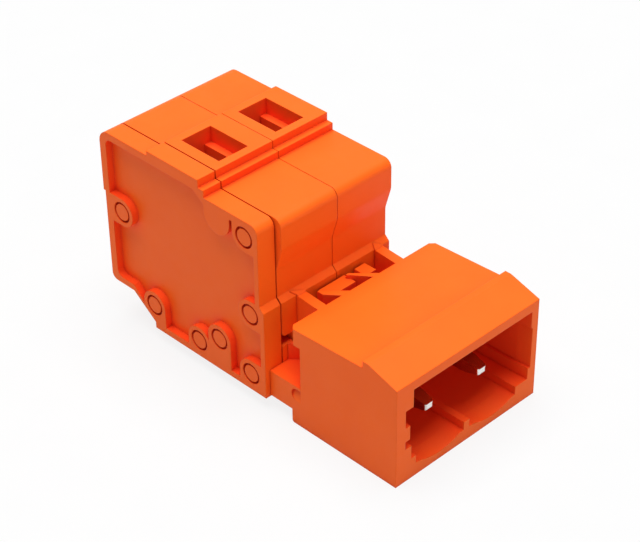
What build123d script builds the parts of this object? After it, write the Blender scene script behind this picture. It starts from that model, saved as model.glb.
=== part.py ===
"""Two-pole pluggable terminal block: the male half, for clamped conductors at 5.08 mm pitch.

The pole housings stand side by side along X behind one end plate. Conductors enter them from
+Y, a screwdriver opens their clamps through the top, and each contact bar runs forward to -Y
as a square pin inside the mating shroud. The origin is the middle of the base of the overall
box, +Z is up, and every size is in millimetres.
"""
import os

from build123d import *

# Poles
pole_count = 2
pole_pitch = 5.08
pole_gap = 0.05
plate_gap = 0.10
seat_clearance = 0.05

# Side profile of the body: lengths from the back plane, drops from the raised top,
# rises from the bottom
body_length = 15.41
body_height = 14.62
strip_length = 4.92
strip_drop = 0.35
land_length = 5.00
ledge_length = 0.52
ledge_drop = 0.59
roof_drop = 1.12
flare = 0.38
flare_rise = 0.52
back_step = 0.18
back_step_drop = 5.24
back_corner_radius = 0.95
front_corner_radius = 0.62
heel_length = 2.48
heel_rise = 2.09
heel_radius = 0.50
toe_length = 4.64
toe_rise = 0.48

# Bulged front of the pole housings
bulge = 0.51
bulge_drop = 3.35
bulge_end_drop = 5.08
bulge_radius = 1.20

# End plate
plate_thickness = 1.50
recess_depth = 0.55
recess_radius = 0.50
rim_top = 0.55
rim_front = 0.40
rim_bottom = 0.50
rim_back = 0.62
boss_radius = 1.10
lobe_setback = 3.82
lobe_drop = 2.15
lobe_radius = 1.22
peg_mouth_radius = 0.79
peg_mouth_depth = 0.30

# Pegs that locate each housing on the piece beside it. The last entry of a place is the
# sides of the rim that the boss round the peg is joined to
back_peg = (1.81, 6.32, ("back",))
toe_peg_rise = 1.92
corner_peg_setback = 1.25
corner_peg_drop = 2.42
flare_peg_setback = 0.94
flare_peg_drop = 1.07
bottom_pegs = [(6.19, 1.33, ("down",)), (4.10, 2.56, ("down",)), (1.03, 1.33, ("down", "front"))]
peg_radius = 0.63
peg_clearance = 0.03
peg_inset = 0.10
peg_root = 0.50
peg_recess = 0.02
column_radius = 0.90

# Pole housing walls and chamber
side_wall = 0.80
back_wall = 1.25
front_wall = 0.96
floor_wall = 0.80
roof_wall = 1.55
chamber_radius = 0.40

# Screwdriver opening in the top and the guide step below it
slot_inset = 0.89
slot_width = 2.57
slot_start = 5.58
slot_length = 3.67
guide_width = 0.58
guide_drop = 1.20
guide_height = 2.00
guide_end = 0.30

# Conductor entry and second screwdriver opening in the back
entry_offset = 2.15
entry_radius = 1.45
entry_depth = 2.50
collar_wall = 0.70
collar_setback = 0.40
funnel_radius = 1.90
funnel_depth = 0.75
back_slot_top = 1.75
back_slot_height = 2.70
back_slot_depth = 1.75

# Contact bar and its square pin
bar_thickness = 1.00
tongue_width = 2.76
tongue_start = 5.30
tongue_rise = 6.87
leg_setback = 3.01
pin_height = 3.73
pin_setback = 1.01
bend_radius = 0.30
tip_length = 1.30
tip_drop = 0.29
tip_inset = 0.11
tip_knee_radius = 3.00
nose_radius = 0.08
nose_corner_radius = 0.25
shoulder_length = 0.45

# Clamp spring
spring_thickness = 0.35
spring_rail = 0.37
spring_window_clearance = 0.10
window_leg_length = 5.90
bow_setback = 0.40
bow_height = 4.15
bow_radius = 1.60
knee_radius = 0.70
fixed_leg_start = 6.90
spring_window_rise = 2.15
rung_height = 0.85
spring_boss_radius = 1.25

# Opening in the front wall of a housing, for the pin and the latch of the shroud:
# rises from the middle of the pin
window_rise = 1.47
window_radius = 0.35
sill_rise = 0.75
sill_width = 0.95
sill_radius = 0.30
stop_length = 1.75

# Mating shroud
shroud_inset = 0.40
pin_margin = 4.18
shroud_length = 9.50
shroud_drop = 0.96
neck_length = 2.36
shroud_front_height = 7.85
shroud_ridge_height = 8.61
shroud_step_height = 8.08
shroud_back_height = 7.78
ridge_setback = 2.48
ridge_width = 0.49
flange_height = 1.29
flange_step = 0.10
flange_chamfer = 0.32
heel_edge_radius = 0.20
side_notch_length = 0.92
side_notch_width = 1.35
pocket_bottom = 1.97
pocket_height = 0.98
pocket_inset = 0.07
pocket_depth = 0.30
pocket_radius = 0.48

# Mating cavity: side walls, coding grooves and the rounded troughs under the pins
cavity_back_wall = 1.20
cavity_roof = 0.79
cavity_left = 1.62
cavity_right = 0.73
trough_floor = 0.56
trough_edge = 0.90
trough_rim = 1.01
trough_shoulder = 1.62
trough_half_width = 2.27
trough_arc_half_width = 1.72
trough_offset = 0.05
groove_deep = 0.92
groove_mid = 1.34
groove_foot = 1.49
groove_levels = (5.78, 4.41, 3.30, 2.68)
right_foot = 0.84
right_foot_top = 2.50
right_waist = 0.60
lead_in_length = 1.20
lead_in_growth = 0.08
lead_in_rise = 0.20

# Neck between the shroud and the housings
neck_clearance = 0.02
block_length = 2.66
block_height = 2.07
block_bottom = 1.08
cheek_inset_left = 2.57
cheek_inset_right = 2.83
cheek_width = 0.76
cheek_rise = 0.13
neck_overlap = 0.50
lug_tip_offsets = (-0.35, 0.14)
lug_reach = 0.30
lug_thickness = 0.10
gusset_size = 0.92
web_height = 4.00
web_reach = 1.48
web_places = [(4.77, 5.53, 3.97, 4.09, 0.53), (7.72, 8.30, 6.62, 6.83, 0.08)]
plate_step = 0.30
plate_places = [(4.43, 6.80), (7.75, 8.74)]
plate_start = 0.73
plate_end = 1.80
latch_inset = 1.00
latch_width = 3.10
latch_thickness = 0.70
latch_rise = 1.41
latch_reach = 1.80
latch_tip = 0.30
hook_height = 0.32

# Derived places
housing_width = pole_pitch - pole_gap
shroud_width = (pole_count - 1) * pole_pitch + 2 * pin_margin
body_front = body_length + flare
overall_width = shroud_inset + shroud_width
overall_length = body_length + neck_length + shroud_length
overall_height = body_height + shroud_drop
x_plate = -overall_width / 2
x_shroud = x_plate + shroud_inset
y_back = overall_length / 2
y_mouth = -overall_length / 2
y_shroud_back = y_mouth + shroud_length
peg_length = plate_gap + plate_thickness - peg_recess
pin_drop = overall_height - pin_height
flare_drop = overall_height - shroud_back_height - flare_rise
heel_drop = body_height - heel_rise
toe_drop = body_height - toe_rise
tongue_drop = body_height - tongue_rise
entry_drop = tongue_drop + entry_offset
leg_length = body_length - leg_setback
peg_places = [
    back_peg,
    (body_length - corner_peg_setback, corner_peg_drop, ("up", "front")),
    (toe_length, body_height - toe_peg_rise, ("down",)),
    (body_length - flare_peg_setback, flare_drop + flare_peg_drop, ("front",)),
]
peg_places += [(body_length - setback, body_height - rise, sides) for setback, rise, sides in bottom_pegs]


def y_at(length):
    """Y of a point at this length forward of the back plane."""
    return y_back - length


def z_at(drop):
    """Z of a point at this drop below the raised top."""
    return overall_height - drop


def housing_left(index):
    return x_plate + plate_thickness + plate_gap + index * pole_pitch


def pin_x(index):
    return x_shroud + pin_margin + index * pole_pitch


def tongue_left(index):
    return pin_x(index) + bar_thickness / 2 - tongue_width


def tongue_middle(index):
    return tongue_left(index) + tongue_width / 2


def prism(points, plane, start, end):
    """Extrude a cornered outline; a point's third number is the radius of its corner."""
    face = make_face(Polyline(*[point[:2] for point in points], close=True))
    for point in points:
        if len(point) == 3:
            corner = face.vertices().sort_by_distance((point[0], point[1], 0))[0]
            face = fillet(corner, point[2])
    return extrude(plane.offset(start) * face, end - start, dir=plane.z_dir)


def side_prism(outline, x_from, x_to):
    """Extrude a side outline, given as (length, drop) or (length, drop, radius), along X."""
    points = [(y_at(length), z_at(drop), *radius) for length, drop, *radius in outline]
    return prism(points, Plane.YZ, x_from, x_to)


def front_prism(points, y_from, y_to):
    """Extrude a front outline of (x, z) points from y_from forward to y_to."""
    return prism(points, Plane.XZ, -y_from, -y_to)


def block(x_from, x_to, y_from, y_to, z_from, z_to):
    centre = ((x_from + x_to) / 2, (y_from + y_to) / 2, (z_from + z_to) / 2)
    return Pos(*centre) * Box(abs(x_to - x_from), abs(y_to - y_from), abs(z_to - z_from))


def rod_x(length, drop, radius, x_from, x_to):
    """Round rod along X at a place of the side profile."""
    centre = ((x_from + x_to) / 2, y_at(length), z_at(drop))
    return Pos(*centre) * Rot(0, 90, 0) * Cylinder(radius, abs(x_to - x_from))


def body_outline(front_points):
    """Side outline shared by the end plate and the housings, closed by its own front."""
    top = [
        (back_step, back_step_drop),
        (0, back_step_drop),
        (0, strip_drop, back_corner_radius),
        (strip_length, strip_drop),
        (strip_length, 0),
        (strip_length + land_length, 0),
        (strip_length + land_length, ledge_drop),
        (strip_length + land_length + ledge_length, ledge_drop),
        (strip_length + land_length + ledge_length, roof_drop),
    ]
    bottom = [
        (toe_length, body_height),
        (toe_length, toe_drop),
        (heel_length, heel_drop),
        (back_step, heel_drop, heel_radius),
    ]
    return top + front_points + bottom


def flare_points():
    """Front wall from above the flare down to the bottom."""
    return [
        (body_length, flare_drop),
        (body_front, flare_drop + flare),
        (body_front, body_height),
    ]


def plate_recess():
    """Shallow recess in the outer face of the end plate, with its round bosses left standing."""
    x_floor = x_plate + recess_depth
    land_end = strip_length + land_length
    outline = [
        (rim_back, strip_drop + rim_top, recess_radius),
        (land_end - rim_top, strip_drop + rim_top),
        (land_end + ledge_length, roof_drop + rim_top),
        (body_length - rim_front, roof_drop + rim_top, recess_radius),
        (body_length - rim_front, flare_drop),
        (body_front - rim_front, flare_drop + flare),
        (body_front - rim_front, body_height - rim_bottom),
        (toe_length, body_height - rim_bottom),
        (heel_length, heel_drop - rim_bottom),
        (rim_back + back_step, heel_drop - rim_bottom, recess_radius),
        (rim_back + back_step, back_step_drop),
        (rim_back, back_step_drop),
    ]
    recess = side_prism(outline, x_plate, x_floor)
    raised = [(*place, boss_radius) for place in peg_places]
    raised.append((body_length - lobe_setback, lobe_drop, ("up",), lobe_radius))
    for length, drop, sides, radius in raised:
        recess -= rod_x(length, drop, radius, x_plate, x_floor)
        for side in sides:
            recess -= side_prism(stem(length, drop, radius, side), x_plate, x_floor)
    return recess


def stem(length, drop, radius, side):
    """Side outline of the raised area that joins a boss to one side of the rim."""
    low_length, high_length = length - radius, length + radius
    low_drop, high_drop = drop - radius, drop + radius
    if side == "back":
        low_length, high_length = 0, length
    if side == "front":
        low_length, high_length = length, body_front
    if side == "up":
        low_drop, high_drop = 0, drop
    if side == "down":
        low_drop, high_drop = drop, body_height
    return [(low_length, low_drop), (high_length, low_drop),
            (high_length, high_drop), (low_length, high_drop)]


def end_plate():
    front = [(body_length, roof_drop, front_corner_radius)] + flare_points()
    x_inner = x_plate + plate_thickness
    plate = side_prism(body_outline(front), x_plate, x_inner) - plate_recess()
    for length, drop, _ in peg_places:
        plate -= rod_x(length, drop, peg_radius + peg_clearance, x_plate - 1, x_inner + 1)
        plate -= rod_x(length, drop, peg_mouth_radius, x_plate - 1, x_plate + peg_mouth_depth)
    return plate


def housing_shell(x_from, x_to):
    """Outside of one pole housing, with its bulged front."""
    front = [
        (body_length + bulge, roof_drop, front_corner_radius),
        (body_length + bulge, bulge_drop, bulge_radius),
        (body_length, bulge_end_drop, bulge_radius),
    ] + flare_points()
    return side_prism(body_outline(front), x_from, x_to)


def chamber(x_from, x_to):
    """Hollow for the clamp and the bar, open towards the piece on the -X side."""
    wall_front = body_front - front_wall
    outline = [
        (back_wall, strip_drop + roof_wall, chamber_radius),
        (wall_front - flare, strip_drop + roof_wall, chamber_radius),
        (wall_front - flare, flare_drop),
        (wall_front, flare_drop + flare),
        (wall_front, body_height - floor_wall),
        (toe_length + floor_wall, body_height - floor_wall),
        (heel_length + floor_wall / 2, heel_drop - floor_wall),
        (back_wall + back_step, heel_drop - floor_wall, chamber_radius),
    ]
    return side_prism(outline, x_from, x_to)


def chamber_fittings(index, x_from, x_to):
    """What stands inside the chamber: peg columns, bar stop, spring boss and entry collar."""
    x_face = x_from + seat_clearance
    fittings = [rod_x(length, drop, column_radius, x_from, x_to) for length, drop, _ in peg_places]
    stop_top = tongue_drop + bar_thickness + seat_clearance
    stop_front = leg_length - seat_clearance
    stop = [
        (stop_front - stop_length, stop_top),
        (stop_front, stop_top, bend_radius),
        (stop_front, pin_drop - bar_thickness / 2 - seat_clearance),
        (stop_front - stop_length, pin_drop),
    ]
    fittings.append(side_prism(stop, x_face, x_to))
    boss_length = leg_length - bow_setback - bow_radius
    boss_drop = tongue_drop - (bow_height + spring_thickness) / 2
    fittings.append(rod_x(boss_length, boss_drop, spring_boss_radius, x_face, x_to))
    collar = Pos(tongue_middle(index), y_at(entry_depth / 2), z_at(entry_drop))
    collar_length = entry_depth - collar_setback
    fittings.append(collar * Rot(90, 0, 0) * Cylinder(entry_radius + collar_wall, collar_length))
    return fittings


def entry_cut(index):
    """Round conductor entry with its funnel, through the back wall."""
    x = tongue_middle(index)
    z = z_at(entry_drop)
    hole = Pos(x, y_at(entry_depth / 2), z) * Rot(90, 0, 0) * Cylinder(entry_radius, entry_depth + 1)
    funnel_back = y_at(back_step) + seat_clearance
    funnel_middle = funnel_back - funnel_depth / 2
    funnel = Pos(x, funnel_middle, z) * Rot(-90, 0, 0) * Cone(entry_radius, funnel_radius, funnel_depth)
    return hole + funnel


def top_opening_cut(index):
    """Screwdriver opening in the raised top, with its guide step on the +X side."""
    x_start = housing_left(index) + slot_inset
    x_end = x_start + slot_width
    y_from = y_at(slot_start)
    y_to = y_at(slot_start + slot_length)
    deep = block(x_start, x_end - guide_width, y_from, y_to, z_at(guide_drop + guide_height), z_at(-1))
    shallow = block(x_start, x_end, y_from, y_to, z_at(guide_drop), z_at(-1))
    return deep + shallow


def guide_step(index, x_to):
    """Rib under the opening that carries the guide step and steers the screwdriver."""
    x_step = housing_left(index) + slot_inset + slot_width - guide_width
    return block(x_step, x_to, y_at(slot_start - guide_end), y_at(slot_start + slot_length + guide_end),
                 z_at(guide_drop + guide_height), z_at(guide_drop))


def front_window_cut(x_from, x_to):
    """Opening in the front wall that the pin leaves by and the latch enters."""
    z_pin = z_at(pin_drop)
    z_bottom = z_pin - bar_thickness / 2 - seat_clearance
    z_top = z_pin + window_rise
    z_sill = z_pin + sill_rise
    y_from = y_at(body_front - front_wall - seat_clearance)
    y_to = y_at(body_front + 1)
    pass_through = block(x_from + sill_width, x_to, y_from, y_to, z_bottom, z_top)
    above_sill = block(x_from - 1, x_from + sill_width, y_from, y_to, z_sill, z_top)
    upper_corner = corner_cut(x_from, z_top, window_radius, 1, y_from, y_to)
    lower_corner = corner_cut(x_from, z_sill, sill_radius, -1, y_from, y_to)
    return pass_through + above_sill + upper_corner + lower_corner


def corner_cut(x, z, radius, upward, y_from, y_to):
    """What comes off to round a wall's corner at (x, z); the wall lies at +X, above or below z."""
    corner = block(x, x + radius, y_from, y_to, z, z + upward * radius)
    centre = ((x + radius), (y_from + y_to) / 2, z + upward * radius)
    return corner - Pos(*centre) * Rot(90, 0, 0) * Cylinder(radius, 2 * abs(y_to - y_from))


def pole_housing(index):
    x_from = housing_left(index)
    x_to = x_from + housing_width
    x_inner = x_to - side_wall
    shell = housing_shell(x_from, x_to)
    hollow = chamber(x_from - 1, x_inner)
    for fitting in chamber_fittings(index, x_from, x_inner):
        hollow -= fitting
    hollow -= guide_step(index, x_inner)
    body = shell - (hollow & shell)
    body -= top_opening_cut(index)
    body -= entry_cut(index)
    body -= back_slot_cut(index)
    body -= front_window_cut(x_from, x_inner)
    for length, drop, _ in peg_places:
        socket_end = x_to - peg_length + pole_gap - peg_inset
        body -= rod_x(length, drop, peg_radius + peg_clearance, socket_end, x_to + 1)
        body += rod_x(length, drop, peg_radius, x_from - peg_length, x_from + peg_root)
    return body


def back_slot_cut(index):
    """Second screwdriver opening, in the back wall above the conductor entry."""
    x_start = housing_left(index) + slot_inset
    return block(x_start, x_start + slot_width, y_at(-1), y_at(back_slot_depth),
                 z_at(strip_drop + back_slot_top + back_slot_height), z_at(strip_drop + back_slot_top))


def contact_bar(index):
    """Bent bar: clamping tongue, leg down to pin height, and square pin, in one piece."""
    t = bar_thickness
    pin_top = pin_drop - t / 2
    pin_end = overall_length - pin_setback
    outer = bend_radius + t
    profile = [
        (tongue_start, tongue_drop),
        (leg_length + t, tongue_drop, outer),
        (leg_length + t, pin_top, bend_radius),
        (pin_end - tip_length, pin_top, tip_knee_radius),
        (pin_end, pin_top + tip_drop, nose_radius),
        (pin_end, pin_top + t - tip_drop, nose_radius),
        (pin_end - tip_length, pin_top + t, tip_knee_radius),
        (leg_length, pin_top + t, outer),
        (leg_length, tongue_drop + t, bend_radius),
        (tongue_start, tongue_drop + t),
    ]
    x_left = tongue_left(index)
    x_right = x_left + tongue_width
    side = side_prism(profile, x_left, x_right)
    shoulder = leg_length + t + bend_radius
    plan = [
        (x_left, y_at(tongue_start)),
        (x_left, y_at(shoulder), shoulder_length),
        (x_right - t, y_at(shoulder), shoulder_length / 2),
        (x_right - t, y_at(pin_end - tip_length), tip_knee_radius),
        (x_right - t + tip_inset, y_at(pin_end), nose_corner_radius),
        (x_right - tip_inset, y_at(pin_end), nose_corner_radius),
        (x_right, y_at(pin_end - tip_length), tip_knee_radius),
        (x_right, y_at(tongue_start)),
    ]
    return side & prism(plan, Plane.XY, 0, overall_height)


def clamp_spring(index):
    """Looped flat strip whose window leg hangs round the tongue of the bar."""
    t = spring_thickness
    leg_drop = tongue_drop - seat_clearance / 2 - t / 2
    rung_top = tongue_drop + bar_thickness + seat_clearance / 2
    y_bow = y_at(leg_length - bow_setback)
    z_bow = z_at(tongue_drop - bow_height)
    path = FilletPolyline(
        (y_at(fixed_leg_start), z_at(leg_drop)),
        (y_bow, z_at(leg_drop)),
        (y_bow, z_bow),
        (y_at(window_leg_length), z_bow),
        (y_at(window_leg_length), z_at(rung_top + rung_height)),
        radius=[bow_radius, bow_radius, knee_radius],
    )
    window_half = tongue_width / 2 + spring_window_clearance
    half_width = window_half + spring_rail
    x = tongue_middle(index)
    strip = extrude(Plane.YZ.offset(x - half_width) * trace(path, t), 2 * half_width, dir=(1, 0, 0))
    window = block(x - window_half, x + window_half, y_at(window_leg_length - t),
                   y_at(window_leg_length + t), z_at(rung_top), z_at(tongue_drop - spring_window_rise))
    return strip - window


def shroud_outline():
    """Side outline of the shroud as (y, z): sloped top with its ridge, and stepped back."""
    return [
        (y_mouth, 0),
        (y_mouth, shroud_front_height),
        (y_mouth + ridge_setback, shroud_ridge_height),
        (y_mouth + ridge_setback + ridge_width, shroud_ridge_height),
        (y_mouth + ridge_setback + ridge_width, shroud_step_height),
        (y_shroud_back, shroud_back_height),
        (y_shroud_back, shroud_back_height - flange_height),
        (y_shroud_back - flange_step, shroud_back_height - flange_height),
        (y_shroud_back - flange_step, 0, heel_edge_radius),
    ]


def flange_corner_cuts():
    """What comes off the two back corners of the top flange, in plan."""
    cuts = []
    for x_face, inward in ((x_shroud, 1), (x_shroud + shroud_width, -1)):
        corner = [
            (x_face - inward, y_shroud_back + 1),
            (x_face - inward, y_shroud_back - flange_chamfer - 1),
            (x_face + inward * (flange_chamfer + 1), y_shroud_back + 1),
        ]
        cuts.append(prism(corner, Plane.XY, shroud_back_height - flange_height, overall_height))
    return cuts


def cavity_face(growth):
    """Front face of the mating cavity, with the coding grooves on its left."""
    x_left = x_shroud - growth
    x_right = x_shroud + shroud_width + growth
    top = shroud_front_height - cavity_roof + growth
    first, second, third, fourth = groove_levels
    outline = [
        (x_left + cavity_left, top),
        (x_left + cavity_left, first),
        (x_left + groove_deep, first),
        (x_left + groove_deep, second),
        (x_left + groove_mid, second),
        (x_left + groove_mid, third),
        (x_left + groove_deep, third),
        (x_left + groove_deep, fourth),
        (x_left + groove_foot, fourth),
        (x_left + groove_foot, trough_shoulder),
        (x_right - right_foot, trough_shoulder),
        (x_right - right_foot, right_foot_top),
        (x_right - right_waist, right_foot_top),
        (x_right - right_waist, first),
        (x_right - cavity_right, first),
        (x_right - cavity_right, top),
    ]
    return make_face(Polyline(*outline, close=True))


def trough_face(x, floor):
    """Outline of a trough of the cavity floor, round-bottomed between two narrow ledges."""
    half = trough_half_width
    arc_half = trough_arc_half_width
    top = trough_shoulder + trough_rim
    corners = [
        (x - arc_half, trough_edge),
        (x - half, trough_rim),
        (x - half, top),
        (x + half, top),
        (x + half, trough_rim),
        (x + arc_half, trough_edge),
    ]
    return make_face([Polyline(*corners), ThreePointArc(corners[-1], (x, floor), corners[0])])


def cavity_cut():
    """Mating cavity: narrows over the lead-in at the mouth, then runs straight to its back wall."""
    y_lead_in = y_mouth + lead_in_length
    y_back_wall = y_shroud_back - cavity_back_wall
    mouth = Plane.XZ.offset(-y_mouth)
    throat = Plane.XZ.offset(-y_lead_in)
    cut = loft([mouth * cavity_face(lead_in_growth), throat * cavity_face(0)], ruled=True)
    cut += extrude(throat * cavity_face(0), y_back_wall - y_lead_in, dir=(0, 1, 0))
    for index in range(pole_count):
        x = pin_x(index) - trough_offset
        inner = throat * trough_face(x, trough_floor + lead_in_rise)
        cut += loft([mouth * trough_face(x, trough_floor), inner], ruled=True)
        cut += extrude(inner, y_back_wall - y_lead_in, dir=(0, 1, 0))
    return cut


def shroud_notches():
    """Notches in the back of both side walls, each with a round-ended sloping pocket below."""
    cuts = []
    z_top = shroud_back_height - flange_height
    z_shelf = block_bottom + block_height
    pocket_top = pocket_bottom + pocket_height
    y_front = y_shroud_back - side_notch_length
    y_pocket = y_shroud_back - pocket_inset
    for x_face, inward in ((x_shroud, 1), (x_shroud + shroud_width, -1)):
        x_deep = x_face + inward * side_notch_width
        x_out = x_face - inward
        cuts.append(block(x_out, x_deep, y_front, y_shroud_back + 1, z_shelf, z_top))
        x_pocket = x_face + inward * pocket_depth
        slope = [(x_out, pocket_bottom), (x_face, pocket_bottom), (x_pocket, pocket_top), (x_out, pocket_top)]
        round_end = [
            (y_front, pocket_bottom),
            (y_front, pocket_top),
            (y_pocket, pocket_top, pocket_radius),
            (y_pocket, pocket_bottom, pocket_radius),
        ]
        pocket = prism(round_end, Plane.YZ, min(x_out, x_deep), max(x_out, x_deep))
        cuts.append(pocket & front_prism(slope, y_shroud_back, y_front))
    return cuts


def cheek_lefts():
    """X of the -X face of each cheek."""
    return (x_shroud + cheek_inset_left, x_shroud + shroud_width - cheek_inset_right - cheek_width)


def neck():
    """What joins the shroud to the housings: lower block, cheeks, webs and latches."""
    y_wall = y_at(body_front) - neck_clearance
    z_shelf = block_bottom + block_height
    top = shroud_back_height
    pieces = [block(x_shroud, x_shroud + shroud_width, y_wall, y_wall - block_length, block_bottom, z_shelf)]
    for x in cheek_lefts():
        outline = [
            (y_shroud_back - cavity_back_wall, z_shelf - neck_overlap),
            (y_shroud_back - cavity_back_wall, top - neck_overlap),
            (y_shroud_back, top),
            (y_wall, top + cheek_rise),
            (y_wall, z_shelf - neck_overlap),
        ]
        pieces.append(prism(outline, Plane.YZ, x, x + cheek_width))
    return pieces + cheek_lugs() + gussets() + neck_webs() + latches()


def cheek_lugs():
    """Pointed end of each cheek, which lies on the flare of the housings."""
    lugs = []
    y_wall = y_at(body_front) - neck_clearance
    near = body_front + neck_clearance
    far = near + lug_thickness
    bend = flare_drop + flare
    layer = side_prism([
        (near - flare, flare_drop),
        (near, bend),
        (near, bend + neck_overlap),
        (far, bend + neck_overlap),
        (far, bend),
        (far - flare, flare_drop),
    ], x_shroud, x_shroud + shroud_width)
    for x, offset in zip(cheek_lefts(), lug_tip_offsets):
        plan = [
            (x, y_wall - lug_thickness),
            (x, y_wall),
            (x + offset, y_wall + lug_reach),
            (x + cheek_width, y_wall),
            (x + cheek_width, y_wall - lug_thickness),
        ]
        lugs.append(layer & prism(plan, Plane.XY, 0, overall_height))
    return lugs


def gussets():
    """Corner between the outer side of each cheek and the housings, above the lower block."""
    y_wall = y_at(body_front) - neck_clearance
    z_from = block_bottom + block_height - neck_overlap
    left, right = cheek_lefts()
    pieces = []
    for x, outward in ((left, -1), (right + cheek_width, 1)):
        plan = [(x, y_wall), (x + outward * gusset_size, y_wall), (x, y_wall - gusset_size)]
        pieces.append(prism(plan, Plane.XY, z_from, pin_height + sill_rise))
    return pieces


def neck_webs():
    """Slanting webs and lower plates between the cheeks."""
    y = y_shroud_back
    top = shroud_back_height
    pieces = []
    for root_left, root_right, tip_left, tip_right, tip_end in web_places:
        plan = [
            (x_shroud + root_left, y - neck_overlap),
            (x_shroud + root_left, y),
            (x_shroud + tip_left, y + web_reach - tip_end),
            (x_shroud + tip_left, y + web_reach),
            (x_shroud + tip_right, y + web_reach),
            (x_shroud + root_right, y),
            (x_shroud + root_right, y - neck_overlap),
        ]
        pieces.append(prism(plan, Plane.XY, top - web_height, top))
    for left, right in plate_places:
        pieces.append(block(x_shroud + left, x_shroud + right, y + plate_start, y + plate_end,
                            top - web_height, top - plate_step))
    return pieces


def latches():
    """Hooked tongues that reach through the front windows of the housings."""
    tongues = []
    y_root = y_shroud_back - neck_overlap
    y_hook = y_at(body_front - front_wall) + seat_clearance
    y_end = y_at(body_front - latch_reach)
    z_top = pin_height + latch_rise
    z_bottom = z_top - latch_thickness
    outline = [
        (y_root, z_top),
        (y_hook, z_top),
        (y_hook, z_top + hook_height),
        (y_end - latch_tip, z_top),
        (y_end, z_top - latch_thickness / 2),
        (y_end, z_bottom),
        (y_root, z_bottom),
    ]
    for index in range(pole_count):
        x = housing_left(index) + latch_inset
        tongues.append(prism(outline, Plane.YZ, x, x + latch_width))
    return tongues


def mating_shroud():
    shroud = prism(shroud_outline(), Plane.YZ, x_shroud, x_shroud + shroud_width)
    for piece in neck():
        shroud += piece
    for cut in shroud_notches() + flange_corner_cuts():
        shroud -= cut
    shroud -= cavity_cut()
    for index in range(pole_count):
        half = bar_thickness / 2 + seat_clearance
        shroud -= block(pin_x(index) - half, pin_x(index) + half, y_at(body_front), y_mouth,
                        z_at(pin_drop + half), z_at(pin_drop - half))
    return shroud


def write(name, shape):
    export_step(shape, "parts/" + name + ".step")


os.makedirs("parts", exist_ok=True)
write("end_plate", end_plate())
write("mating_shroud", mating_shroud())
for pole in range(pole_count):
    write("pole_housing_" + str(pole + 1), pole_housing(pole))
    write("contact_bar_" + str(pole + 1), contact_bar(pole))
    write("clamp_spring_" + str(pole + 1), clamp_spring(pole))
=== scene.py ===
"""Looks of the pluggable terminal block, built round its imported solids.

The moulded pieces keep their solids and get a moulded plastic finish. The contact bars and the
clamp springs get their metals. A stage with a pale floor, two soft lamps and a camera goes with
them.
"""
from math import cos, radians, sin

import bpy
from bpy.props import FloatProperty, FloatVectorProperty, PointerProperty
from mathutils import Matrix, Vector


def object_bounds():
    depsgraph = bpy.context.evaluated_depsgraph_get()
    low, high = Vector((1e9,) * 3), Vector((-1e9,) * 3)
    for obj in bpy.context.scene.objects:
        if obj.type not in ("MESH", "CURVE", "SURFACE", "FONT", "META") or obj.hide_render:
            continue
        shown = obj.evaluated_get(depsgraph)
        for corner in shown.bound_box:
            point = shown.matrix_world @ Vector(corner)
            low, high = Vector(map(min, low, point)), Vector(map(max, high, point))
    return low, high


bl_info = {
    "name": "Pluggable terminal block",
    "version": (1, 0, 0),
    "blender": (4, 5, 0),
    "location": "View3D > Sidebar > Terminal block",
    "description": "Finishes and stage for a pluggable terminal block",
    "category": "Object",
}

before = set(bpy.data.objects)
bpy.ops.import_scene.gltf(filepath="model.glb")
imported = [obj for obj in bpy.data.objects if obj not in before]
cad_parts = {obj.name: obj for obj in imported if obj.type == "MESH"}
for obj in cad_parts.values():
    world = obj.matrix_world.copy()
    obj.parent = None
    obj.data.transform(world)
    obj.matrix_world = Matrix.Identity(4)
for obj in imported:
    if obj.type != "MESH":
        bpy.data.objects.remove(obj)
cad_low, cad_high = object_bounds()

MM = 0.001
WHITE = (1.0, 1.0, 1.0)

# Values between which most of a noise texture lies
NOISE_LOW = 0.3
NOISE_HIGH = 0.7

# Rays that the openness and the soft edges are measured with at each point
SURFACE_SAMPLES = 6

SENSOR_WIDTH = 36.0
NEAR_CLIP = 1.0 * MM
FAR_CLIP = 10.0


def rgba(color):
    return (color[0], color[1], color[2], 1.0)


def darker(color, share):
    return [channel * share for channel in color]


def seen_directly(tree):
    """Output that is 1 for rays of the camera, of reflections and through glass, and 0 for light."""
    paths = tree.nodes.new("ShaderNodeLightPath")
    total = paths.outputs["Is Camera Ray"]
    for name in ("Is Glossy Ray", "Is Transmission Ray"):
        larger = tree.nodes.new("ShaderNodeMath")
        larger.operation = "MAXIMUM"
        tree.links.new(total, larger.inputs[0])
        tree.links.new(paths.outputs[name], larger.inputs[1])
        total = larger.outputs["Value"]
    return total


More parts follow.
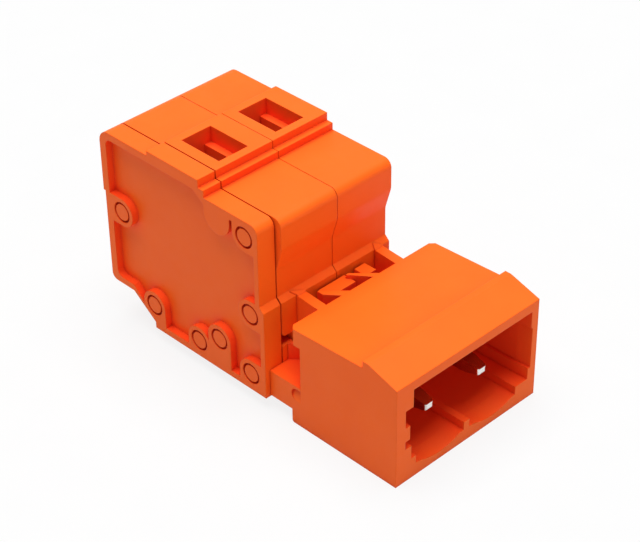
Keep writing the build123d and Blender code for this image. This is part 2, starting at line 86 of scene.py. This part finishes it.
class Material:
    """A material's node tree, with short ways to add and join its nodes."""

    def __init__(self, name):
        self.data = bpy.data.materials.new(name)
        self.data.use_nodes = True
        self.nodes = self.data.node_tree.nodes
        self.links = self.data.node_tree.links
        self.nodes.clear()
        self.output = self.nodes.new("ShaderNodeOutputMaterial")

    def add(self, kind, **values):
        """Add a node. A value sets the node's own setting of that name, or else its socket."""
        node = self.nodes.new(kind)
        for key, value in values.items():
            if hasattr(node, key):
                setattr(node, key, value)
            else:
                node.inputs[key.replace("_", " ").title()].default_value = value
        return node

    def join(self, source, target):
        self.links.new(source, target)

    def finish(self, shader):
        self.join(shader.outputs[0], self.output.inputs["Surface"])
        return self.data

    def object_coordinates(self):
        return self.add("ShaderNodeTexCoord").outputs["Object"]

    def noise(self, coordinates, feature_size, detail=3.0):
        """Noise whose features are about feature_size metres wide."""
        node = self.add("ShaderNodeTexNoise", scale=1.0 / feature_size, detail=detail)
        self.join(coordinates, node.inputs["Vector"])
        return node.outputs["Fac"]

    def map_range(self, value, from_low, from_high, to_low=0.0, to_high=1.0):
        node = self.add("ShaderNodeMapRange", from_min=from_low, from_max=from_high,
                        to_min=to_low, to_max=to_high)
        self.join(value, node.inputs["Value"])
        return node.outputs["Result"]

    def spread(self, noise, low=0.0, high=1.0):
        """Stretch the values where noise mostly lies onto low to high."""
        return self.map_range(noise, NOISE_LOW, NOISE_HIGH, low, high)

    def openness(self, reach, closed, opened, own_piece):
        """0 where the surface is closed in within a reach, and 1 where it is open.

        Only the piece itself closes it in if own_piece is true, and otherwise every piece does.
        """
        node = self.add("ShaderNodeAmbientOcclusion", samples=SURFACE_SAMPLES,
                        only_local=own_piece, distance=reach)
        return self.map_range(node.outputs["AO"], closed, opened)

    def blend_colors(self, factor, first, second):
        """Mix of two colours, each three numbers or an output of another node."""
        node = self.add("ShaderNodeMix", data_type="RGBA")
        color_inputs = [socket for socket in node.inputs if socket.type == "RGBA"]
        for socket, color in zip(color_inputs, (first, second)):
            if isinstance(color, bpy.types.NodeSocket):
                self.join(color, socket)
            else:
                socket.default_value = rgba(color)
        self.join(factor, node.inputs["Factor"])
        return [socket for socket in node.outputs if socket.type == "RGBA"][0]

    def bump(self, height, distance, strength, normal=None):
        node = self.add("ShaderNodeBump", strength=strength, distance=distance)
        self.join(height, node.inputs["Height"])
        if normal is not None:
            self.join(normal, node.inputs["Normal"])
        return node.outputs["Normal"]


def moulded_plastic(settings):
    """Satin moulded plastic with slight clouds, fine mould grain and soft edges.

    Its orange carries painted shade: deeper inside openings, and darkest in narrow seams and sharp
    corners.
    """
    material = Material("moulded_orange")
    where = material.object_coordinates()

    clouds = material.spread(material.noise(where, settings.cloud_size))
    # Painted shade: the orange deepens where the piece closes in on itself, inside openings and
    # corners.
    cavity_shade_openness = material.openness(
        settings.inner_shade_reach, settings.inner_shade_closed, settings.inner_shade_open, own_piece=True)
    # Painted shade: dark orange in the narrow seams between pieces and in sharp corners.
    seam_shade_openness = material.openness(
        settings.seam_shade_reach, settings.seam_shade_closed, settings.seam_shade_open, own_piece=False)
    color = material.blend_colors(clouds, settings.color, settings.cloud_color)
    color = material.blend_colors(cavity_shade_openness, settings.inner_shade_color, color)
    color = material.blend_colors(seam_shade_openness, settings.seam_shade_color, color)

    roughness = material.spread(
        material.noise(where, settings.patch_size),
        settings.roughness - settings.roughness_spread,
        settings.roughness + settings.roughness_spread)

    edges = material.add(
        "ShaderNodeBevel", samples=SURFACE_SAMPLES, radius=settings.edge_radius)
    grain = material.noise(where, settings.grain_size, detail=2.0)
    normal = material.bump(
        grain, settings.grain_depth, settings.grain_strength, edges.outputs["Normal"])

    shader = material.add("ShaderNodeBsdfPrincipled")
    shader.inputs["Specular IOR Level"].default_value = settings.specular
    material.join(color, shader.inputs["Base Color"])
    material.join(roughness, shader.inputs["Roughness"])
    material.join(normal, shader.inputs["Normal"])
    return material.finish(shader)


def rolled_metal(name, color, roughness, settings):
    """Metal with fine rolling streaks along the strip, and painted shade that darkens it where it is
    closed in.
    """
    material = Material(name)
    stretch = material.add("ShaderNodeMapping", scale=(1.0, settings.streak_shortening, 1.0))
    material.join(material.object_coordinates(), stretch.inputs["Vector"])
    streaks = material.noise(stretch.outputs["Vector"], settings.streak_width, detail=2.0)

    # Painted shade and painted reflection: the metal turns dark brown where it is closed in, in
    # place of the dark cavity that it reflects.
    metal_unshaded = material.openness(
        settings.metal_shade_reach, settings.metal_shade_closed, settings.metal_shade_open, own_piece=False)
    tint = material.blend_colors(
        material.spread(streaks), color, darker(color, settings.streak_tone))
    tint = material.blend_colors(metal_unshaded, settings.metal_shade_color, tint)
    streaked_roughness = material.spread(
        streaks, roughness * settings.smooth_share, roughness * settings.rough_share)

    shader = material.add("ShaderNodeBsdfPrincipled", metallic=1.0)
    material.join(tint, shader.inputs["Base Color"])
    material.join(streaked_roughness, shader.inputs["Roughness"])
    material.join(
        material.bump(streaks, settings.streak_depth, settings.streak_strength),
        shader.inputs["Normal"])
    return material.finish(shader)


def pale_floor(settings):
    """Pale floor that the camera and reflections see almost white, with a soft shadow kept."""
    material = Material("pale_floor")
    speckle = material.noise(material.object_coordinates(), settings.speckle_size)
    tone = material.blend_colors(
        material.spread(speckle), settings.floor_color,
        darker(settings.floor_color, settings.speckle_tone))
    paint = material.add("ShaderNodeBsdfDiffuse")
    material.join(tone, paint.inputs["Color"])
    glow = material.add("ShaderNodeEmission", strength=1.0)
    glow.inputs["Color"].default_value = rgba(WHITE)

    glow_share = material.add("ShaderNodeMath", operation="MULTIPLY")
    glow_share.inputs[1].default_value = settings.floor_whiteness
    material.join(seen_directly(material.data.node_tree), glow_share.inputs[0])
    mix = material.add("ShaderNodeMixShader")
    material.join(glow_share.outputs["Value"], mix.inputs["Fac"])
    material.join(paint.outputs["BSDF"], mix.inputs[1])
    material.join(glow.outputs["Emission"], mix.inputs[2])
    return material.finish(mix)


def finish_nodes(prefixes, material):
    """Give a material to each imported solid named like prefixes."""
    for name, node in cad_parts.items():
        if name.startswith(prefixes):
            node.data.materials.clear()
            node.data.materials.append(material)


class PlasticSettings(bpy.types.PropertyGroup):
    color: FloatVectorProperty(
        name="Colour", description="Orange of the moulded pieces", subtype="COLOR",
        size=3, min=0.0, max=1.0, default=(0.965, 0.134, 0.009))
    cloud_color: FloatVectorProperty(
        name="Cloud colour", description="Slightly deeper orange of the clouding", subtype="COLOR",
        size=3, min=0.0, max=1.0, default=(0.950, 0.126, 0.008))
    cloud_size: FloatProperty(
        name="Cloud size", description="Width of the clouds in the colour", unit="LENGTH",
        default=3.0 * MM)
    # Painted shade inside openings and in the corners of a piece
    inner_shade_color: FloatVectorProperty(
        name="Inner colour", description="Deeper orange inside openings and in corners",
        subtype="COLOR", size=3, min=0.0, max=1.0, default=(0.95, 0.062, 0.013))
    inner_shade_reach: FloatProperty(
        name="Inner reach", description="How near another face deepens the colour",
        unit="LENGTH", default=14.0 * MM)
    inner_shade_closed: FloatProperty(
        name="Inner closed", description="Openness at which the inner colour is full",
        default=0.30)
    inner_shade_open: FloatProperty(
        name="Inner open", description="Openness at which the outer colour is full",
        default=0.92)
    # Painted shade in the seams between pieces and in sharp corners
    seam_shade_color: FloatVectorProperty(
        name="Seam colour", description="Dark orange in the seams between pieces",
        subtype="COLOR", size=3, min=0.0, max=1.0, default=(0.70, 0.040, 0.006))
    seam_shade_reach: FloatProperty(
        name="Seam reach", description="How near another face darkens the colour",
        unit="LENGTH", default=0.45 * MM)
    seam_shade_closed: FloatProperty(
        name="Seam closed", description="Openness at which the seam colour is full",
        default=0.15)
    seam_shade_open: FloatProperty(
        name="Seam open", description="Openness at which none of the seam colour is left",
        default=0.75)
    roughness: FloatProperty(
        name="Roughness", description="Middle roughness of the plastic", default=0.46)
    roughness_spread: FloatProperty(
        name="Roughness spread", description="How far the roughness strays", default=0.04)
    patch_size: FloatProperty(
        name="Gloss patch size", description="Width of the patches of differing gloss",
        unit="LENGTH", default=0.8 * MM)
    specular: FloatProperty(
        name="Specular", description="Strength of the surface reflection", default=0.14)
    grain_size: FloatProperty(
        name="Grain size", description="Width of the mould grain", unit="LENGTH",
        default=0.05 * MM)
    grain_depth: FloatProperty(
        name="Grain depth", description="Depth of the mould grain", unit="LENGTH",
        default=0.002 * MM)
    grain_strength: FloatProperty(
        name="Grain strength", description="How much of the grain shows", default=0.25)
    edge_radius: FloatProperty(
        name="Edge radius", description="Softness of the moulded edges", unit="LENGTH",
        default=0.07 * MM)


class MetalSettings(bpy.types.PropertyGroup):
    tin_color: FloatVectorProperty(
        name="Tin colour", description="Colour of the plated contact bars", subtype="COLOR",
        size=3, min=0.0, max=1.0, default=(0.88, 0.87, 0.84))
    tin_roughness: FloatProperty(
        name="Tin roughness", description="Roughness of the plating", default=0.14)
    steel_color: FloatVectorProperty(
        name="Steel colour", description="Colour of the clamp springs", subtype="COLOR",
        size=3, min=0.0, max=1.0, default=(0.62, 0.61, 0.59))
    steel_roughness: FloatProperty(
        name="Steel roughness", description="Roughness of the spring strip", default=0.30)
    # Painted shade on the metal where it is closed in
    metal_shade_color: FloatVectorProperty(
        name="Shaded colour", description="Colour of the metal where it is closed in",
        subtype="COLOR", size=3, min=0.0, max=1.0, default=(0.35, 0.24, 0.20))
    metal_shade_reach: FloatProperty(
        name="Shaded reach", description="How near another face dulls the metal", unit="LENGTH",
        default=6.0 * MM)
    metal_shade_closed: FloatProperty(
        name="Shaded closed", description="Openness at which the metal is fully dull",
        default=0.50)
    metal_shade_open: FloatProperty(
        name="Shaded open", description="Openness at which the metal is bright", default=0.75)
    streak_width: FloatProperty(
        name="Streak width", description="Width of the rolling streaks", unit="LENGTH",
        default=0.04 * MM)
    streak_shortening: FloatProperty(
        name="Streak shortening", description="Width of a streak as a share of its length",
        default=0.04)
    streak_tone: FloatProperty(
        name="Streak tone", description="Brightness of the darker streaks", default=0.88)
    streak_depth: FloatProperty(
        name="Streak depth", description="Depth of the rolling streaks", unit="LENGTH",
        default=0.001 * MM)
    streak_strength: FloatProperty(
        name="Streak strength", description="How much of the streaks' depth shows", default=0.3)
    smooth_share: FloatProperty(
        name="Smooth share", description="Roughness of the smoothest streaks, as a share",
        default=0.75)
    rough_share: FloatProperty(
        name="Rough share", description="Roughness of the roughest streaks, as a share",
        default=1.35)


class StageSettings(bpy.types.PropertyGroup):
    floor_size: FloatProperty(
        name="Floor size", description="Side of the square floor", unit="LENGTH", default=1.6)
    floor_color: FloatVectorProperty(
        name="Floor colour", description="Colour of the pale floor", subtype="COLOR",
        size=3, min=0.0, max=1.0, default=(0.66, 0.66, 0.66))
    floor_whiteness: FloatProperty(
        name="Floor whiteness", description="Share of plain white that the camera sees",
        default=0.85)
    speckle_size: FloatProperty(
        name="Speckle size", description="Width of the floor's speckles", unit="LENGTH",
        default=4.0 * MM)
    speckle_tone: FloatProperty(
        name="Speckle tone", description="Brightness of the darker speckles", default=0.96)
    top_lamp_size: FloatProperty(
        name="Top lamp size", description="Side of the softbox overhead", unit="LENGTH",
        default=0.40)
    top_lamp_height: FloatProperty(
        name="Top lamp height", description="Height of the softbox over the floor",
        unit="LENGTH", default=0.45)
    top_lamp_back: FloatProperty(
        name="Top lamp back", description="How far behind the middle the softbox hangs",
        unit="LENGTH", default=0.02)
    top_lamp_power: FloatProperty(
        name="Top lamp power", description="Power of the softbox overhead", unit="POWER",
        default=3.08)
    front_lamp_size: FloatProperty(
        name="Front lamp size", description="Side of the softbox in front", unit="LENGTH",
        default=0.30)
    front_lamp_distance: FloatProperty(
        name="Front lamp distance", description="Distance of the front softbox along the floor",
        unit="LENGTH", default=0.50)
    front_lamp_height: FloatProperty(
        name="Front lamp height", description="Height of the front softbox over the floor",
        unit="LENGTH", default=0.11)
    front_lamp_power: FloatProperty(
        name="Front lamp power", description="Power of the softbox in front", unit="POWER",
        default=0.30)
    ambient: FloatProperty(
        name="Ambient", description="Light from all round the stage", default=0.23)
    azimuth: FloatProperty(
        name="Azimuth", description="Direction of the camera round the object",
        unit="ROTATION", default=radians(-44.251))
    elevation: FloatProperty(
        name="Elevation", description="Height of the camera over the horizon",
        unit="ROTATION", default=radians(35.627))
    roll: FloatProperty(
        name="Roll", description="Turn of the camera about its line of sight",
        unit="ROTATION", default=radians(-0.727))
    aim: FloatVectorProperty(
        name="Aim", description="Point that the camera looks at", unit="LENGTH", size=3,
        default=(-1.602 * MM, -1.968 * MM, 8.58 * MM))
    distance: FloatProperty(
        name="Distance", description="Distance from the aim to the camera", unit="LENGTH",
        default=129.712 * MM)
    lens: FloatProperty(
        name="Lens", description="Focal length in millimetres", unit="CAMERA", default=110.95)


def camera_axes(azimuth, elevation, roll):
    """Right, up and back directions of a camera, in the frame of the part."""
    right = Vector((cos(azimuth), sin(azimuth), 0.0))
    back = Vector((sin(azimuth) * cos(elevation), -cos(azimuth) * cos(elevation), sin(elevation)))
    up = back.cross(right)
    turned_right = right * cos(roll) + up * sin(roll)
    turned_up = up * cos(roll) - right * sin(roll)
    return turned_right, turned_up, back


def add_camera(settings):
    right, up, back = camera_axes(settings.azimuth, settings.elevation, settings.roll)
    data = bpy.data.cameras.new("camera")
    data.sensor_width = SENSOR_WIDTH
    data.lens = settings.lens
    data.clip_start = NEAR_CLIP
    data.clip_end = FAR_CLIP
    camera = bpy.data.objects.new("camera", data)
    place = Matrix.Translation(Vector(settings.aim) + back * settings.distance)
    camera.matrix_world = place @ Matrix((right, up, back)).transposed().to_4x4()
    bpy.context.scene.collection.objects.link(camera)
    bpy.context.scene.camera = camera


def add_softbox(name, size, power, place):
    """Square area lamp at a place, turned towards the foot of the part."""
    data = bpy.data.lights.new(name, "AREA")
    data.shape = "SQUARE"
    data.size = size
    data.energy = power
    lamp = bpy.data.objects.new(name, data)
    lamp.location = place
    lamp.rotation_mode = "QUATERNION"
    lamp.rotation_quaternion = (-Vector(place)).to_track_quat("-Z", "Y")
    bpy.context.scene.collection.objects.link(lamp)


def add_floor(settings):
    half = settings.floor_size / 2
    z = cad_low.z
    corners = [(-half, -half, z), (half, -half, z), (half, half, z), (-half, half, z)]
    mesh = bpy.data.meshes.new("floor")
    mesh.from_pydata(corners, [], [(0, 1, 2, 3)])
    mesh.materials.append(pale_floor(settings))
    floor = bpy.data.objects.new("floor", mesh)
    bpy.context.scene.collection.objects.link(floor)


def set_world(settings):
    """White to the camera and in reflections, and a dimmer even light on the object."""
    world = bpy.data.worlds.new("studio")
    world.use_nodes = True
    tree = world.node_tree
    tree.nodes.clear()
    mix = tree.nodes.new("ShaderNodeMixShader")
    tree.links.new(seen_directly(tree), mix.inputs["Fac"])
    for socket, strength in zip(mix.inputs[1:], (settings.ambient, 1.0)):
        light = tree.nodes.new("ShaderNodeBackground")
        light.inputs["Color"].default_value = rgba(WHITE)
        light.inputs["Strength"].default_value = strength
        tree.links.new(light.outputs["Background"], socket)
    output = tree.nodes.new("ShaderNodeOutputWorld")
    tree.links.new(mix.outputs["Shader"], output.inputs["Surface"])
    bpy.context.scene.world = world


class TERMINAL_OT_finish_plastic(bpy.types.Operator):
    """Give the end plate, the pole housings and the mating shroud their moulded plastic"""

    bl_idname = "terminal.finish_plastic"
    bl_label = "Finish moulded pieces"

    def execute(self, context):
        plastic = moulded_plastic(context.scene.terminal_plastic)
        finish_nodes(("end_plate", "pole_housing", "mating_shroud"), plastic)
        return {"FINISHED"}


class TERMINAL_OT_finish_contact_bars(bpy.types.Operator):
    """Give the contact bars and their pins a tin plate"""

    bl_idname = "terminal.finish_contact_bars"
    bl_label = "Finish contact bars"

    def execute(self, context):
        metal = context.scene.terminal_metal
        tin = rolled_metal("tin_plate", metal.tin_color, metal.tin_roughness, metal)
        finish_nodes(("contact_bar",), tin)
        return {"FINISHED"}


class TERMINAL_OT_finish_clamp_springs(bpy.types.Operator):
    """Give the clamp springs their rolled steel"""

    bl_idname = "terminal.finish_clamp_springs"
    bl_label = "Finish clamp springs"

    def execute(self, context):
        metal = context.scene.terminal_metal
        steel = rolled_metal("spring_strip", metal.steel_color, metal.steel_roughness, metal)
        finish_nodes(("clamp_spring",), steel)
        return {"FINISHED"}


class TERMINAL_OT_set_stage(bpy.types.Operator):
    """Add the pale floor, the two softboxes, the even light and the camera"""

    bl_idname = "terminal.set_stage"
    bl_label = "Set the stage"

    def execute(self, context):
        stage = context.scene.terminal_stage
        add_floor(stage)
        set_world(stage)
        add_softbox("top_lamp", stage.top_lamp_size, stage.top_lamp_power,
                    (0.0, stage.top_lamp_back, stage.top_lamp_height))
        add_softbox("front_lamp", stage.front_lamp_size, stage.front_lamp_power,
                    (0.0, -stage.front_lamp_distance, stage.front_lamp_height))
        add_camera(stage)
        context.scene.view_settings.view_transform = "Standard"
        return {"FINISHED"}


OPERATORS = (
    TERMINAL_OT_finish_plastic,
    TERMINAL_OT_finish_contact_bars,
    TERMINAL_OT_finish_clamp_springs,
    TERMINAL_OT_set_stage,
)


class TERMINAL_PT_panel(bpy.types.Panel):
    """Lists what builds the terminal block"""

    bl_label = "Terminal block"
    bl_idname = "TERMINAL_PT_panel"
    bl_space_type = "VIEW_3D"
    bl_region_type = "UI"
    bl_category = "Terminal block"

    def draw(self, context):
        scene = context.scene
        for operator in OPERATORS:
            self.layout.operator(operator.bl_idname)
        for settings in (scene.terminal_plastic, scene.terminal_metal, scene.terminal_stage):
            box = self.layout.box()
            for name in settings.bl_rna.properties.keys():
                if name not in ("rna_type", "name"):
                    box.prop(settings, name)


CLASSES = (PlasticSettings, MetalSettings, StageSettings, *OPERATORS, TERMINAL_PT_panel)


def register():
    for cls in CLASSES:
        bpy.utils.register_class(cls)
    bpy.types.Scene.terminal_plastic = PointerProperty(type=PlasticSettings)
    bpy.types.Scene.terminal_metal = PointerProperty(type=MetalSettings)
    bpy.types.Scene.terminal_stage = PointerProperty(type=StageSettings)


def unregister():
    del bpy.types.Scene.terminal_stage
    del bpy.types.Scene.terminal_metal
    del bpy.types.Scene.terminal_plastic
    for cls in reversed(CLASSES):
        bpy.utils.unregister_class(cls)


def main():
    register()
    bpy.ops.terminal.finish_plastic()
    bpy.ops.terminal.finish_contact_bars()
    bpy.ops.terminal.finish_clamp_springs()
    bpy.ops.terminal.set_stage()


if __name__ == "__main__":
    main()
